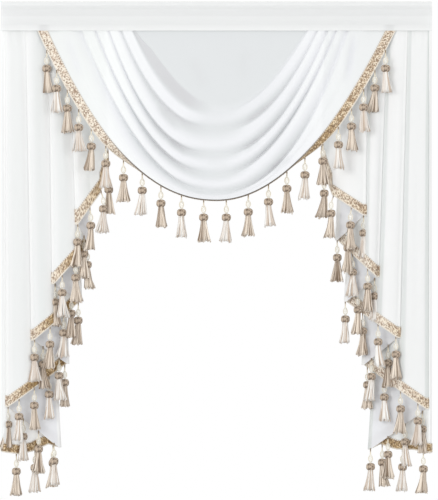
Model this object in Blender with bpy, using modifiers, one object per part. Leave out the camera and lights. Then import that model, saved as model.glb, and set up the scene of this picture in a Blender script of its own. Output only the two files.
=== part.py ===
"""Swag and tail drape: a header with an open rod pocket, a swag in cowl folds, two pleated tails, and a braid with
hanging tassels along the lower edge of each cloth.

Metres, +Z up. The origin is the middle of the header's top edge. The front faces -Y and +X is the viewer's right.
The tables hold millimetres. A place on a tail is given by how far out it lies from the middle of the drape.
"""
import math
from collections import namedtuple

import bmesh
import bpy
from mathutils import Matrix, Vector

MM = 0.001

# Whole drape
WIDTH = 1000 * MM
CLOTH_THICK = 1.0 * MM
SEAM_GAP = 0.35 * MM

# Header, a sleeve whose ends are open for the rod. A shoulder is its share of the full half depth and how far it lies
# under the heading.
HEADING_HEIGHT = 12 * MM
HEADING_THICK = 3 * MM
POCKET_BOTTOM = 55 * MM
FLAP_BOTTOM = 70 * MM
POCKET_HALF_DEPTH = 13 * MM
POCKET_WALL = 1.5 * MM
SLEEVE_SHOULDER = (0.75, 8 * MM)
SLEEVE_FULL_DROP = 20 * MM
POCKET_SHOULDER = (0.72, 9 * MM)
POCKET_CEILING_DROP = 3 * MM
CLOTH_TOP_Z = -POCKET_BOTTOM - SEAM_GAP
BRAID_TOP_Z = CLOTH_TOP_Z - 0.7 * MM

# Braid and tassels
BRAID_WIDTH = 22.5 * MM
BRAID_THICK = 2.4 * MM
LEFT_FIRST_TASSEL = 8 * MM
LEFT_SPACING = 48 * MM
RIGHT_FIRST_TASSEL = 32 * MM
RIGHT_SPACING = 52 * MM
LOCK_INSET = 0.5 * MM
LOCK_LENGTH = 51 * MM

# Swag: how far it hangs forward of the header's seam, how much its columns crowd at the sides, and where its braid
# turns under
SWAG_SEAM_Y = -6.2 * MM
SWAG_BULGE = 58 * MM
SWAG_BULGE_FALL = 220 * MM
SWAG_COLUMNS = 38
SWAG_FLAT_ROWS = 4
SWAG_CROWDING = 0.45
SWAG_SEAM_INSET = 7.0
UNDER_START = 0.74
UNDER_FULL = 0.42
UNDER_ANGLE = math.radians(84)
UNDER_CLEARANCE = 0.75 * CLOTH_THICK
SWAG_TASSELS = 22
SWAG_END_SPACES = 1.2
SWAG_TASSEL_STAGGER = 12 * MM
STAGGER_FROM = 0.5

# Tails: distance between layers at the seam and low down, and the slant of the layers in plan
TAIL_PITCH_TOP = 2.2 * MM
TAIL_PITCH_LOW = 12 * MM
TAIL_PITCH_FALL = 150 * MM
TAIL_SEAM_Y = 3.5 * MM
TAIL_BACK = 12 * MM
TAIL_BACK_FALL = 250 * MM
LAYERS_PER_METRE = 33.0
FIRST_OUT = 256 * MM
TAIL_ROWS = 7
TAIL_ROW_GROWTH = 1.35
TURN_STEPS = 3
STEEPEST_BRAID = 2.0
STEEP_LEAN = 7.2 * MM
TAIL_TASSEL_STAGGER = 9.4 * MM

# One line of the swag runs from the header at left, down to its lowest place and up to the header at right.
# left, right: where it meets the header's lower edge. low_x, low_z: its lowest place. left_power, right_power: how
# square its two arms are. forward: how far it stands out, or in if negative, at its middle and at its ends.
# rows: mesh rows from the line before.
SwagLine = namedtuple("SwagLine", "name left right low_x low_z left_power right_power forward end_forward rows")
SWAG_LINES = (
    SwagLine("trough_1", -188, 208, 12, -256, 1.85, 1.80, -1, -1.5, SWAG_FLAT_ROWS),
    SwagLine("crest_1", -198, 224, -1, -273, 2.50, 2.02, 5, 1.5, 2),
    SwagLine("trough_2", -221, 233, 3, -296, 2.45, 2.17, -6, -1.5, 2),
    SwagLine("crest_2", -235, 243, -1, -333, 2.60, 2.02, 8, 1.5, 3),
    SwagLine("trough_3", -249, 256, -1, -356, 2.45, 2.15, -8, -1.5, 2),
    SwagLine("crest_3", -261, 268, -1, -378, 2.45, 2.08, 9, 1.5, 3),
    SwagLine("trough_4", -280, 277, -1, -403, 2.20, 2.03, -9, -1.5, 2),
    SwagLine("crest_4", -291, 287, -1, -425, 2.30, 2.01, 10, 1.5, 3),
    SwagLine("trough_5", -314, 300, -3, -443, 2.10, 2.40, -9, -1.5, 2),
    SwagLine("crest_5", -355, 334, -3, -454, 2.25, 2.15, 7, 1.5, 2),
    SwagLine("seam", -390, 390, 1, -461, 2.20, 1.98, 3, 0.0, 3),
)

# One edge, bend or fold of a tail. turn: 0 at a free edge or a bend, 1 where the cloth folds back at its outer end,
# -1 where it folds back at its inner end. top_out, hem_out: how far out it lies at the header and at the hem.
# hem_z: the height of the braid's lower edge there. steps: mesh columns up to the next place.
TailPlace = namedtuple("TailPlace", "turn top_out hem_out hem_z steps")
LEFT_TAIL = (
    TailPlace(0, 260, 250, -390, 1),
    TailPlace(0, 282, 270, -447, 2),
    TailPlace(1, 342, 327, -519, 1),
    TailPlace(-1, 298, 291, -568, 3),
    TailPlace(1, 390, 382, -657, 2),
    TailPlace(-1, 335, 312, -698, 3),
    TailPlace(1, 443, 430, -788, 3),
    TailPlace(-1, 377, 342, -842, 4),
    TailPlace(1, 491, 489, -942, 4),
    TailPlace(-1, 414, 361, -1037, 1),
    TailPlace(0, 431, 391, -1030, 1),
    TailPlace(0, 456, 428, -1046, 1),
    TailPlace(0, 475, 456, -1053, 1),
    TailPlace(0, 499, 500, -1046, 0),
)
RIGHT_TAIL = (
    TailPlace(0, 252, 242, -376, 1),
    TailPlace(0, 277, 268, -450, 2),
    TailPlace(1, 351, 347, -498, 1),
    TailPlace(-1, 300, 275, -555, 3),
    TailPlace(1, 396, 377, -641, 2),
    TailPlace(-1, 338, 296, -698, 3),
    TailPlace(1, 444, 426, -782, 3),
    TailPlace(-1, 377, 337, -845, 4),
    TailPlace(1, 493, 492, -947, 4),
    TailPlace(-1, 414, 352, -1042, 1),
    TailPlace(0, 432, 381, -1030, 1),
    TailPlace(0, 456, 419, -1042, 1),
    TailPlace(0, 476, 456, -1042, 1),
    TailPlace(0, 499, 500, -1049, 0),
)

# One mesh column of a tail, between two places or, with an angle, round the fold at one of them.
# layer: which layer it is on, counted from the front, or the layer in front of the fold.
TailColumn = namedtuple("TailColumn", "first after share layer angle")

# One ring of a tassel's loop and head: how far under the braid, and half its width and depth.
TasselRing = namedtuple("TasselRing", "drop half_width half_depth")
TASSEL_RINGS = (
    TasselRing(-5, 1.8, 0.9),
    TasselRing(29, 3.4, 2.4),
    TasselRing(37, 10.0, 4.2),
    TasselRing(45, 8.0, 4.0),
)

# One yarn lock of a tassel's skirt: the middle of its tip, and its size against its root.
TasselLock = namedtuple("TasselLock", "tip_x widen deepen")
TASSEL_LOCKS = (
    TasselLock(-8.2, 2.9, 1.2),
    TasselLock(0.0, 1.2, 1.1),
    TasselLock(8.2, 2.9, 1.2),
)

Finish = namedtuple("Finish", "color roughness sheen")
FINISHES = {
    "header_cloth": Finish((0.84, 0.85, 0.84), 0.85, 0.2),
    "swag_cloth": Finish((0.86, 0.88, 0.89), 0.85, 0.2),
    "tail_cloth": Finish((0.88, 0.89, 0.88), 0.85, 0.2),
    "braid_and_yarn": Finish((0.62, 0.50, 0.37), 0.75, 0.3),
}


def clear_scene():
    for old in list(bpy.data.objects):
        bpy.data.objects.remove(old, do_unlink=True)


def new_collection(name):
    collection = bpy.data.collections.new(name)
    bpy.context.scene.collection.children.link(collection)
    return collection


def make_material(name):
    finish = FINISHES[name]
    material = bpy.data.materials.new(name)
    material.use_nodes = True
    shader = material.node_tree.nodes["Principled BSDF"]
    shader.inputs["Base Color"].default_value = (*finish.color, 1.0)
    shader.inputs["Roughness"].default_value = finish.roughness
    shader.inputs["Metallic"].default_value = 0.0
    shader.inputs["Sheen Weight"].default_value = finish.sheen
    material.diffuse_color = (*finish.color, 1.0)
    return material


def add_object(name, data, material, collection):
    data.materials.append(material)
    thing = bpy.data.objects.new(name, data)
    collection.objects.link(thing)
    return thing


def smooth_step(value):
    value = min(max(value, 0.0), 1.0)
    return value * value * (3.0 - 2.0 * value)


def settle(depth, fall):
    """Goes from 0 at the seam towards 1 with depth under it."""
    return 1.0 - math.exp(-max(depth, 0.0) / fall)


def sheet_mesh(name, columns, rows, place):
    """A grid of columns by rows whose point (column, row) lies at place(column, row)."""
    grid = bmesh.new()
    bmesh.ops.create_grid(grid, x_segments=columns, y_segments=rows, size=1.0)
    for point in grid.verts:
        column = round((point.co.x + 1.0) / 2.0 * columns)
        row = round((1.0 - point.co.y) / 2.0 * rows)
        point.co = place(column, row)
    mesh = bpy.data.meshes.new(name)
    grid.to_mesh(mesh)
    grid.free()
    return mesh


def add_sheet(name, mesh, thickness, material, collection):
    sheet = add_object(name, mesh, material, collection)
    mesh.shade_smooth()
    solid = sheet.modifiers.new("thickness", "SOLIDIFY")
    solid.thickness = thickness
    solid.offset = 0.0
    return sheet


def header_outline():
    """The sleeve's section as (y, z), from the heading round the front, the hem flap and the back."""
    half = POCKET_HALF_DEPTH
    fin = HEADING_THICK / 2.0
    top = -HEADING_HEIGHT
    share, shoulder_drop = SLEEVE_SHOULDER
    return (
        (-fin, 0.0),
        (-fin, top),
        (-share * half, top - shoulder_drop),
        (-half, top - SLEEVE_FULL_DROP),
        (-half, -FLAP_BOTTOM),
        (-half + POCKET_WALL, -FLAP_BOTTOM),
        (-half + POCKET_WALL, -POCKET_BOTTOM),
        (half, -POCKET_BOTTOM),
        (half, top - SLEEVE_FULL_DROP),
        (share * half, top - shoulder_drop),
        (fin, top),
        (fin, 0.0),
    )


def pocket_outline():
    """The rod pocket's section as (y, z)."""
    half = POCKET_HALF_DEPTH - POCKET_WALL
    top = -HEADING_HEIGHT
    bottom = -POCKET_BOTTOM + POCKET_WALL
    share, shoulder_drop = POCKET_SHOULDER
    return (
        (0.0, top - POCKET_CEILING_DROP),
        (-share * half, top - shoulder_drop),
        (-half, top - SLEEVE_FULL_DROP),
        (-half, bottom),
        (half, bottom),
        (half, top - SLEEVE_FULL_DROP),
        (share * half, top - shoulder_drop),
    )


def build_header(collection):
    """A flat outline with the pocket cut out of it, drawn out along the drape's width."""
    outline = bpy.data.curves.new("header", "CURVE")
    outline.dimensions = "2D"
    outline.fill_mode = "BOTH"
    outline.extrude = WIDTH / 2.0
    for corners in (header_outline(), pocket_outline()):
        spline = outline.splines.new("POLY")
        spline.points.add(len(corners) - 1)
        spline.use_cyclic_u = True
        for point, (y, z) in zip(spline.points, corners):
            point.co = (y, z, 0.0, 1.0)
    header = add_object("header", outline, make_material("header_cloth"), collection)
    header.matrix_world = Matrix(((0, 0, 1, 0), (1, 0, 0, 0), (0, 1, 0, 0), (0, 0, 0, 1)))
    return header


def arm_fraction(column):
    """Places the swag's columns from -1 to 1, closer together on the steep arms than across the middle."""
    even = 2.0 * column / SWAG_COLUMNS - 1.0
    crowded = 1.5 * even - 0.5 * even ** 3
    return even + SWAG_CROWDING * (crowded - even)


def line_point(line, fraction):
    """The point (x, z) of a swag line, carried up from the header's lower edge to the seam behind the flap."""
    power = line.left_power if fraction < 0.0 else line.right_power
    end = line.left if fraction < 0.0 else line.right
    low_z = line.low_z * MM
    reach = ((CLOTH_TOP_Z - low_z) / (-FLAP_BOTTOM - low_z)) ** (1.0 / power)
    x = line.low_x + (end - line.low_x) * abs(fraction) * reach
    z = low_z + (CLOTH_TOP_Z - low_z) * abs(fraction) ** power
    return x * MM, z


def seam_point(fraction):
    """The swag's top edge between its innermost pleats."""
    first = SWAG_LINES[0]
    left = first.left + SWAG_SEAM_INSET
    right = first.right - SWAG_SEAM_INSET
    return ((left + right) / 2.0 + fraction * (right - left) / 2.0) * MM, CLOTH_TOP_Z


def swag_depth(z, forward):
    return SWAG_SEAM_Y - SWAG_BULGE * settle(-FLAP_BOTTOM - z, SWAG_BULGE_FALL) - forward


def line_forward(line, fraction):
    share = abs(fraction) ** 3
    return (line.forward * (1.0 - share) + line.end_forward * share) * MM


def swag_rows():
    """Each mesh row as the line before it, the line after it and the share of the way between them."""
    rows = [(None, SWAG_LINES[0], 0.0)]
    before = None
    for line in SWAG_LINES:
        rows += [(before, line, (step + 1.0) / line.rows) for step in range(line.rows)]
        before = line
    return rows


def swag_point(row, fraction):
    before, after, share = row
    start_x, start_z = line_point(before, fraction) if before else seam_point(fraction)
    end_x, end_z = line_point(after, fraction)
    start_forward = line_forward(before, fraction) if before else 0.0
    turn = smooth_step(share)
    x = start_x + (end_x - start_x) * share
    z = start_z + (end_z - start_z) * share
    forward = start_forward + (line_forward(after, fraction) - start_forward) * turn
    return Vector((x, swag_depth(z, forward), z))


def build_swag(collection):
    rows = swag_rows()
    mesh = sheet_mesh("swag", SWAG_COLUMNS, len(rows) - 1,
                      lambda column, row: swag_point(rows[row], arm_fraction(column)))
    return add_sheet("swag", mesh, CLOTH_THICK, make_material("swag_cloth"), collection)


def swag_hem_point(column, share):
    """A point of the swag's braid, from its sewn edge (share 0) to its free edge (share 1)."""
    fraction = arm_fraction(column)
    last = SWAG_LINES[-1]
    seam_row = (SWAG_LINES[-2], last, 1.0)
    start = swag_point(seam_row, fraction)
    step = 0.01
    ahead_x, ahead_z = line_point(last, min(fraction + step, 1.0))
    behind_x, behind_z = line_point(last, max(fraction - step, -1.0))
    along = Vector((ahead_x - behind_x, 0.0, ahead_z - behind_z)).normalized()
    outward = Vector((along.z, 0.0, -along.x))
    under = UNDER_ANGLE * smooth_step((UNDER_START - abs(fraction)) / (UNDER_START - UNDER_FULL))
    direction = outward * math.cos(under) + Vector((0.0, 1.0, 0.0)) * math.sin(under)
    reach = SEAM_GAP + UNDER_CLEARANCE * math.sin(under) + share * BRAID_WIDTH
    point = start + direction * reach
    point.z = min(point.z, BRAID_TOP_Z)
    return point


def tassel_mesh(name, hangings):
    """Tassels on their loops. A hanging is the loop's root on the braid's free edge, the yaw and the lean in y."""
    tassels = bmesh.new()
    for root, yaw, lean in hangings:
        add_tassel(tassels, Matrix.Translation(root) @ Matrix.Rotation(yaw, 4, "Z"), lean)
    mesh = bpy.data.meshes.new(name)
    tassels.to_mesh(mesh)
    tassels.free()
    return mesh


def add_column(tassels):
    """Loop and head in unit sizes: six sides, with ring number n at z = -n. Returns its points and its underside."""
    turned = Matrix.Translation((0.0, 0.0, -0.5)) @ Matrix.Rotation(math.radians(90), 4, "Z")
    points = bmesh.ops.create_cone(tassels, cap_ends=True, segments=6, radius1=1.0, radius2=1.0, depth=1.0,
                                   matrix=turned)["verts"]
    low = next(face for point in points for face in point.link_faces
               if all(corner.co.z < -0.9 for corner in face.verts))
    for number in range(2, len(TASSEL_RINGS)):
        low = bmesh.ops.extrude_discrete_faces(tassels, faces=[low])["faces"][0]
        for point in low.verts:
            point.co.z = -number
        points += list(low.verts)
    return points, low


def lock_roots(tassels, low):
    """Parts the head's underside in three: a corner at each side and the middle between them."""
    corners = sorted(low.verts, key=lambda point: point.co.x)
    bmesh.utils.face_split(low, *corners[1:3])
    rest = next(face for face in corners[3].link_faces if set(face.verts) <= set(corners) and len(face.verts) > 3)
    bmesh.utils.face_split(rest, *corners[3:5])
    roots = {face for point in corners for face in point.link_faces if set(face.verts) <= set(corners)}
    return sorted(roots, key=lambda face: face.calc_center_median().x)


def add_tassel(tassels, frame, lean):
    """Loop and head are one column. The skirt is three yarn locks that grow out of the head's underside."""
    made, low = add_column(tassels)
    for point in made:
        ring = TASSEL_RINGS[round(-point.co.z)]
        shift = 0.0 if ring is TASSEL_RINGS[0] else lean
        point.co = Vector((point.co.x * ring.half_width * MM, point.co.y * ring.half_depth * MM + shift,
                           -ring.drop * MM))
    roots = lock_roots(tassels, low)
    bmesh.ops.inset_individual(tassels, faces=roots, thickness=LOCK_INSET, use_even_offset=True)
    for root, lock in zip(roots, TASSEL_LOCKS):
        centre = root.calc_center_median()
        made += list(root.verts)
        tip = bmesh.ops.extrude_discrete_faces(tassels, faces=[root])["faces"][0]
        for point in tip.verts:
            offset = point.co - centre
            point.co = Vector((lock.tip_x * MM + offset.x * lock.widen, centre.y + offset.y * lock.deepen,
                               centre.z - LOCK_LENGTH))
        made += list(tip.verts)
    bmesh.ops.transform(tassels, matrix=frame, verts=made)


def add_fringe(name, strip_mesh, hangings, material, collection, cutters):
    """The braid, with its tassels joined to it at their loops."""
    fringe = add_sheet(name, strip_mesh, BRAID_THICK, material, collection)
    tassels = add_object(name + "_tassels", tassel_mesh(name + "_tassels", hangings), material, cutters)
    tassels.hide_render = True
    tassels.display_type = "WIRE"
    union = fringe.modifiers.new("tassels", "BOOLEAN")
    union.operation = "UNION"
    union.solver = "EXACT"
    union.object = tassels
    return fringe


def walk(points, distances):
    """The places at given distances along a line of points, each with the index of the stretch it lies on."""
    found = []
    passed = 0.0
    targets = list(distances)
    for index in range(len(points) - 1):
        length = (points[index + 1] - points[index]).length
        while targets and targets[0] <= passed + length:
            share = (targets.pop(0) - passed) / length
            found.append((points[index].lerp(points[index + 1], share), index))
        passed += length
    return found


def line_length(points):
    return sum((second - first).length for first, second in zip(points, points[1:]))


def swag_hangings():
    """Tassels at even distances along the swag's free edge. Every second one on its steep arms leans forward."""
    edge = [swag_hem_point(column, 1.0) for column in range(SWAG_COLUMNS + 1)]
    total = line_length(edge)
    spacing = total / (SWAG_TASSELS + SWAG_END_SPACES)
    first = (total - spacing * (SWAG_TASSELS - 1)) / 2.0
    hangings = []
    for number, (root, index) in enumerate(walk(edge, [first + spacing * n for n in range(SWAG_TASSELS)])):
        steep = abs(arm_fraction(index)) > STAGGER_FROM
        hangings.append((root, 0.0, -SWAG_TASSEL_STAGGER if steep and number % 2 else 0.0))
    return hangings


def build_swag_fringe(collection, cutters, material):
    mesh = sheet_mesh("fringe_swag", SWAG_COLUMNS, 1, lambda column, row: swag_hem_point(column, float(row)))
    return add_fringe("fringe_swag", mesh, swag_hangings(), material, collection, cutters)


def tail_pitch(z):
    return TAIL_PITCH_TOP + (TAIL_PITCH_LOW - TAIL_PITCH_TOP) * settle(CLOTH_TOP_Z - z, TAIL_PITCH_FALL)


def place_out(place, z):
    """How far out a tail's edge, bend or fold lies at a height."""
    hem_z = place.hem_z * MM
    share = (CLOTH_TOP_Z - z) / (CLOTH_TOP_Z - hem_z)
    return (place.top_out + (place.hem_out - place.top_out) * share) * MM


def tail_columns(places):
    """The mesh columns of a tail, from its inner edge through every fold to its outer edge."""
    columns = []
    layer = 1
    for first, after in zip(places, places[1:]):
        start = 0 if not columns else 1
        if first.turn:
            for step in range(TURN_STEPS + 1):
                angle = math.pi * (step / TURN_STEPS - 0.5)
                columns.append(TailColumn(first, first, 0.0, layer, angle))
            layer += 1
            start = 1
        last = after.turn != 0
        for step in range(start, first.steps + (0 if last else 1)):
            columns.append(TailColumn(first, after, step / first.steps, layer, None))
    return columns


def tail_point(column, z):
    """A point of a tail at a height: its distance out and its y."""
    first, after = column.first, column.after
    pitch = tail_pitch(z)
    radius = pitch / 2.0
    if column.angle is None:
        start = place_out(first, z) - first.turn * radius
        end = place_out(after, z) - after.turn * radius
        out = start + (end - start) * column.share
        level = column.layer
    else:
        out = place_out(first, z) - first.turn * radius * (1.0 - math.cos(column.angle))
        level = column.layer + 0.5 + 0.5 * math.sin(column.angle)
    slant = 1.0 + LAYERS_PER_METRE * (out - FIRST_OUT)
    base = TAIL_SEAM_Y + TAIL_BACK * settle(CLOTH_TOP_Z - z, TAIL_BACK_FALL)
    return out, base + pitch * (level - slant)


def hem_height(column):
    return (column.first.hem_z + (column.after.hem_z - column.first.hem_z) * column.share) * MM


def layer_slope(first, after):
    return min(abs(after.hem_z - first.hem_z) / abs(after.hem_out - first.hem_out), STEEPEST_BRAID)


def braid_heights(places, columns):
    """The upright height of the braid at each column, so that it keeps its width on a sloping hem."""
    slope_after = {first: layer_slope(first, after) for first, after in zip(places, places[1:])}
    slope_before = {after: layer_slope(first, after) for first, after in zip(places, places[1:])}
    heights = []
    for column in columns:
        slope = slope_after[column.first]
        if column.angle is not None:
            slope = (slope + slope_before[column.first]) / 2.0
        heights.append(BRAID_WIDTH * math.sqrt(1.0 + slope * slope))
    return heights


class Tail:
    """One tail: its side of the drape, its places and the mesh columns worked out from them."""

    def __init__(self, side, places, first_tassel, spacing):
        self.side = side
        self.places = places
        self.first_tassel = first_tassel
        self.spacing = spacing
        self.columns = tail_columns(places)
        self.braid = braid_heights(places, self.columns)

    def point(self, column, z):
        out, y = tail_point(self.columns[column], z)
        return Vector((self.side * out, y, z))

    def cloth_point(self, column, row):
        share = (row / TAIL_ROWS) ** TAIL_ROW_GROWTH
        seam_share = SEAM_GAP / BRAID_WIDTH
        low = hem_height(self.columns[column]) + self.braid[column] * (1.0 + seam_share)
        return self.point(column, CLOTH_TOP_Z + (low - CLOTH_TOP_Z) * share)

    def braid_point(self, column, row):
        return self.point(column, hem_height(self.columns[column]) + self.braid[column] * (1 - row))

    def hangings(self):
        """Tassels at even distances along the hem. On the steep first layer they hang in front of the braid, and
        every second one leans further forward."""
        edge = [self.braid_point(column, 1) for column in range(len(self.columns))]
        total = line_length(edge)
        count = int((total - self.first_tassel) / self.spacing) + 1
        distances = [self.first_tassel + self.spacing * number for number in range(count)]
        found = []
        for number, (root, index) in enumerate(walk(edge, distances)):
            column = self.columns[index]
            yaw = -self.side * math.atan(tail_pitch(root.z) * LAYERS_PER_METRE)
            steep = column.layer == 1 and column.angle is None
            lean = -STEEP_LEAN - TAIL_TASSEL_STAGGER * (number % 2) if steep else 0.0
            found.append((root, yaw, lean))
        return found


def build_tail(name, tail, material, collection):
    mesh = sheet_mesh(name, len(tail.columns) - 1, TAIL_ROWS, tail.cloth_point)
    return add_sheet(name, mesh, CLOTH_THICK, material, collection)


def build_tail_fringe(name, tail, material, collection, cutters):
    mesh = sheet_mesh(name, len(tail.columns) - 1, 1, tail.braid_point)
    return add_fringe(name, mesh, tail.hangings(), material, collection, cutters)


def main():
    clear_scene()
    drape = new_collection("swag_and_tail_drape")
    cutters = new_collection("cutters")
    build_header(drape)
    build_swag(drape)
    trim = make_material("braid_and_yarn")
    build_swag_fringe(drape, cutters, trim)
    tail_cloth = make_material("tail_cloth")
    left = Tail(-1, LEFT_TAIL, LEFT_FIRST_TASSEL, LEFT_SPACING)
    right = Tail(1, RIGHT_TAIL, RIGHT_FIRST_TASSEL, RIGHT_SPACING)
    for side, tail in (("left", left), ("right", right)):
        build_tail("tail_" + side, tail, tail_cloth, drape)
        build_tail_fringe("fringe_" + side, tail, trim, drape, cutters)


main()
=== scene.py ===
"""Looks of the swag and tail drape: sheer cloth on the solids' folds, woven braid and yarn tassels on loops.

Metres, +Z up. The front faces -Y and +X is the viewer's right. The tables hold millimetres, as in the part's
source.
"""

import math
from collections import namedtuple

import bpy
import numpy as np
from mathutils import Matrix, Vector


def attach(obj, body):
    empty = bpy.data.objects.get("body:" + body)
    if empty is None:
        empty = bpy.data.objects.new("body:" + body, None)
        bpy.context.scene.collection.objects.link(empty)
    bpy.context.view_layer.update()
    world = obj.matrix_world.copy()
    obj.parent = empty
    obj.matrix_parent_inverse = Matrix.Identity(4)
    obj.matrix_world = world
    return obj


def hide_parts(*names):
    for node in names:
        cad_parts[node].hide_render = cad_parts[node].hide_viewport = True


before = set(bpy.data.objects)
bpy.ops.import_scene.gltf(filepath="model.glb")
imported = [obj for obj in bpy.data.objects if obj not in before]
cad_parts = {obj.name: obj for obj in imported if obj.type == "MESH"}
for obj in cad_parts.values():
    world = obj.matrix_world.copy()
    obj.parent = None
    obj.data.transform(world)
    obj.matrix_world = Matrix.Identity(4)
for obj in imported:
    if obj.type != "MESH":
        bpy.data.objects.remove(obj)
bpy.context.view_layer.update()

MM = 0.001
LEFT, RIGHT = -1, 1

# Sizes that the solids have too
WIDTH = 1000 * MM
SEAM_GAP = 0.35 * MM
CLOTH_THICK = 1.0 * MM
HEADING_HEIGHT = 12 * MM
HEADING_HALF = 1.3 * MM
POCKET_BOTTOM = 55 * MM
FLAP_BOTTOM = 70 * MM
POCKET_HALF_DEPTH = 13 * MM
CLOTH_TOP_Z = -POCKET_BOTTOM - SEAM_GAP
BRAID_TOP_Z = CLOTH_TOP_Z - 0.7 * MM
BRAID_WIDTH = 22.5 * MM
SWAG_SEAM_Y = -6.2 * MM
SWAG_BULGE = 58 * MM
SWAG_BULGE_FALL = 220 * MM
SWAG_SEAM_INSET = 7.0
UNDER_START = 0.74
UNDER_FULL = 0.42
UNDER_ANGLE = math.radians(84)
SWAG_TASSELS = 22
SWAG_END_SPACES = 1.2
SWAG_TASSEL_STAGGER = 12 * MM
STAGGER_FROM = 0.5
TAIL_PITCH_TOP = 2.2 * MM
TAIL_PITCH_LOW = 12 * MM
TAIL_PITCH_FALL = 150 * MM
TAIL_SEAM_Y = 3.5 * MM
TAIL_BACK = 12 * MM
TAIL_BACK_FALL = 250 * MM
LAYERS_PER_METRE = 33.0
FIRST_OUT = 256 * MM
STEEPEST_BRAID = 2.0
STEEP_LEAN = 7.2 * MM
TAIL_TASSEL_STAGGER = 9.4 * MM
SOLID_TURN_STEPS = 3

# How the cloth lies differently from its solid: the tails' pleats are round and nestle together, and near the
# header it comes forward to the hem band.
PLEAT_ROUND = 6.5 * MM
NESTLE = 1.5
HIDDEN_SHARE = 0.34
HIDDEN_STEP = 3.0 * MM
HIDDEN_FALL = 45 * MM
SWAG_TOP_FORWARD = 4.0 * MM
TAIL_TOP_FORWARD = 8.0 * MM
TOP_FORWARD_FALL = 40 * MM
BESIDE_SWAG = 402 * MM
TOP_FORWARD_STEP = 20 * MM

# How finely the cloth and the braid are made
SWAG_COLUMNS = 260
ROWS_PER_LINE = 12
FLAT_ROWS = 40
HEM_ROWS = 4
TAIL_ROWS = 110
FINE_STEPS = 10
FINE_TURN_STEPS = 10
BRAID_STEP = 0.8 * MM
BRAID_ROWS = 23

# A line of the swag, as in the part's source. The last column is the cloth's tone along the line. It is
# partly how closely the cloth lies over itself, and partly painted shade in the troughs and painted light on
# the crests. It runs from 0 for the darkest painted shade (a single ply alone is 0.42) to 1, and is given at
# the left end, on the left arm, at the middle, on the right arm and at the right end.
SwagLine = namedtuple("SwagLine",
                      "name left right low_x low_z left_power right_power forward end_forward plies")
SWAG_LINES = tuple(SwagLine(*row) for row in (
    ("trough_1", -188, 208, 12, -256, 1.85, 1.80, -1.0, -1.5, (0.08, 0.00, 0.52, 0.46, 0.50)),
    ("crest_1", -198, 224, -1, -273, 2.50, 2.02, 4.0, 1.5, (0.85, 0.76, 0.58, 0.66, 0.80)),
    ("trough_2", -221, 233, 3, -296, 2.45, 2.17, -5.0, -1.5, (0.35, 0.00, 0.40, 0.10, 0.55)),
    ("crest_2", -235, 243, -1, -333, 2.60, 2.02, 6.5, 1.5, (0.92, 0.76, 0.68, 0.72, 0.84)),
    ("trough_3", -249, 256, -1, -356, 2.45, 2.15, -6.5, -1.5, (0.60, 0.00, 0.42, 0.10, 0.62)),
    ("crest_3", -261, 268, -1, -378, 2.45, 2.08, 7.5, 1.5, (0.96, 0.78, 0.70, 0.76, 0.88)),
    ("trough_4", -280, 277, -1, -403, 2.20, 2.03, -7.0, -1.5, (0.70, 0.00, 0.42, 0.10, 0.70)),
    ("crest_4", -291, 287, -1, -425, 2.30, 2.01, 8.0, 1.5, (1.00, 0.80, 0.70, 0.76, 0.90)),
    ("trough_5", -314, 300, -3, -443, 2.10, 2.40, -7.0, -1.5, (0.80, 0.25, 0.40, 0.06, 0.72)),
    ("crest_5", -355, 334, -3, -454, 2.25, 2.15, 5.5, 1.5, (1.00, 0.82, 0.64, 0.78, 0.92)),
    ("seam", -390, 390, 1, -461, 2.20, 1.98, 3.0, 0.0, (1.00, 0.92, 0.72, 0.80, 0.92)),
))
# The flat cloth over the first trough: how full it is, and by the place along the arm how far down it turns
FLAT_PLIES = 0.42
WEDGE_AT = (-1.0, -0.8, -0.5, -0.25, -0.15)
WEDGE_START = (0.95, 0.78, 0.89, 0.92, 0.90)
WEDGE_EDGE, PLAIN_EDGE = 0.05, 0.1
# The folds are flatter at the swag's middle, and a crease of this depth would paint the cloth's tone all the
# way down to the darkest painted shade.
MIDDLE_RELIEF = 0.5
MIDDLE_REACH = 0.45
CREASE_FULL_SHADE = 18 * MM
CREASE_TAPER = 0.35
# Where along the arms the flanks turn from the middle's even ones to the arms' short and long ones
LEFT_FLANK_FROM, RIGHT_FLANK_FROM, FLANK_BLEND = 0.08, 0.05, 0.3
CRISP_FROM, CRISP_BLEND = 0.5, 0.4

TailPlace = namedtuple("TailPlace", "turn top_out hem_out hem_z steps")
LEFT_TAIL = tuple(TailPlace(*row) for row in (
    (0, 260, 250, -390, 1),
    (0, 282, 270, -447, 2),
    (1, 342, 327, -519, 1),
    (-1, 298, 291, -568, 3),
    (1, 390, 382, -657, 2),
    (-1, 335, 312, -698, 3),
    (1, 443, 430, -788, 3),
    (-1, 377, 342, -842, 4),
    (1, 491, 489, -942, 4),
    (-1, 414, 361, -1037, 1),
    (0, 431, 391, -1030, 1),
    (0, 456, 428, -1046, 1),
    (0, 475, 456, -1053, 1),
    (0, 499, 500, -1046, 0),
))
RIGHT_TAIL = tuple(TailPlace(*row) for row in (
    (0, 252, 242, -376, 1),
    (0, 277, 268, -450, 2),
    (1, 351, 347, -498, 1),
    (-1, 300, 275, -555, 3),
    (1, 396, 377, -641, 2),
    (-1, 338, 296, -698, 3),
    (1, 444, 426, -782, 3),
    (-1, 377, 337, -845, 4),
    (1, 493, 492, -947, 4),
    (-1, 414, 352, -1042, 1),
    (0, 432, 381, -1030, 1),
    (0, 456, 419, -1042, 1),
    (0, 476, 456, -1042, 1),
    (0, 499, 500, -1049, 0),
))
TailColumn = namedtuple("TailColumn", "first after share layer angle")
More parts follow.
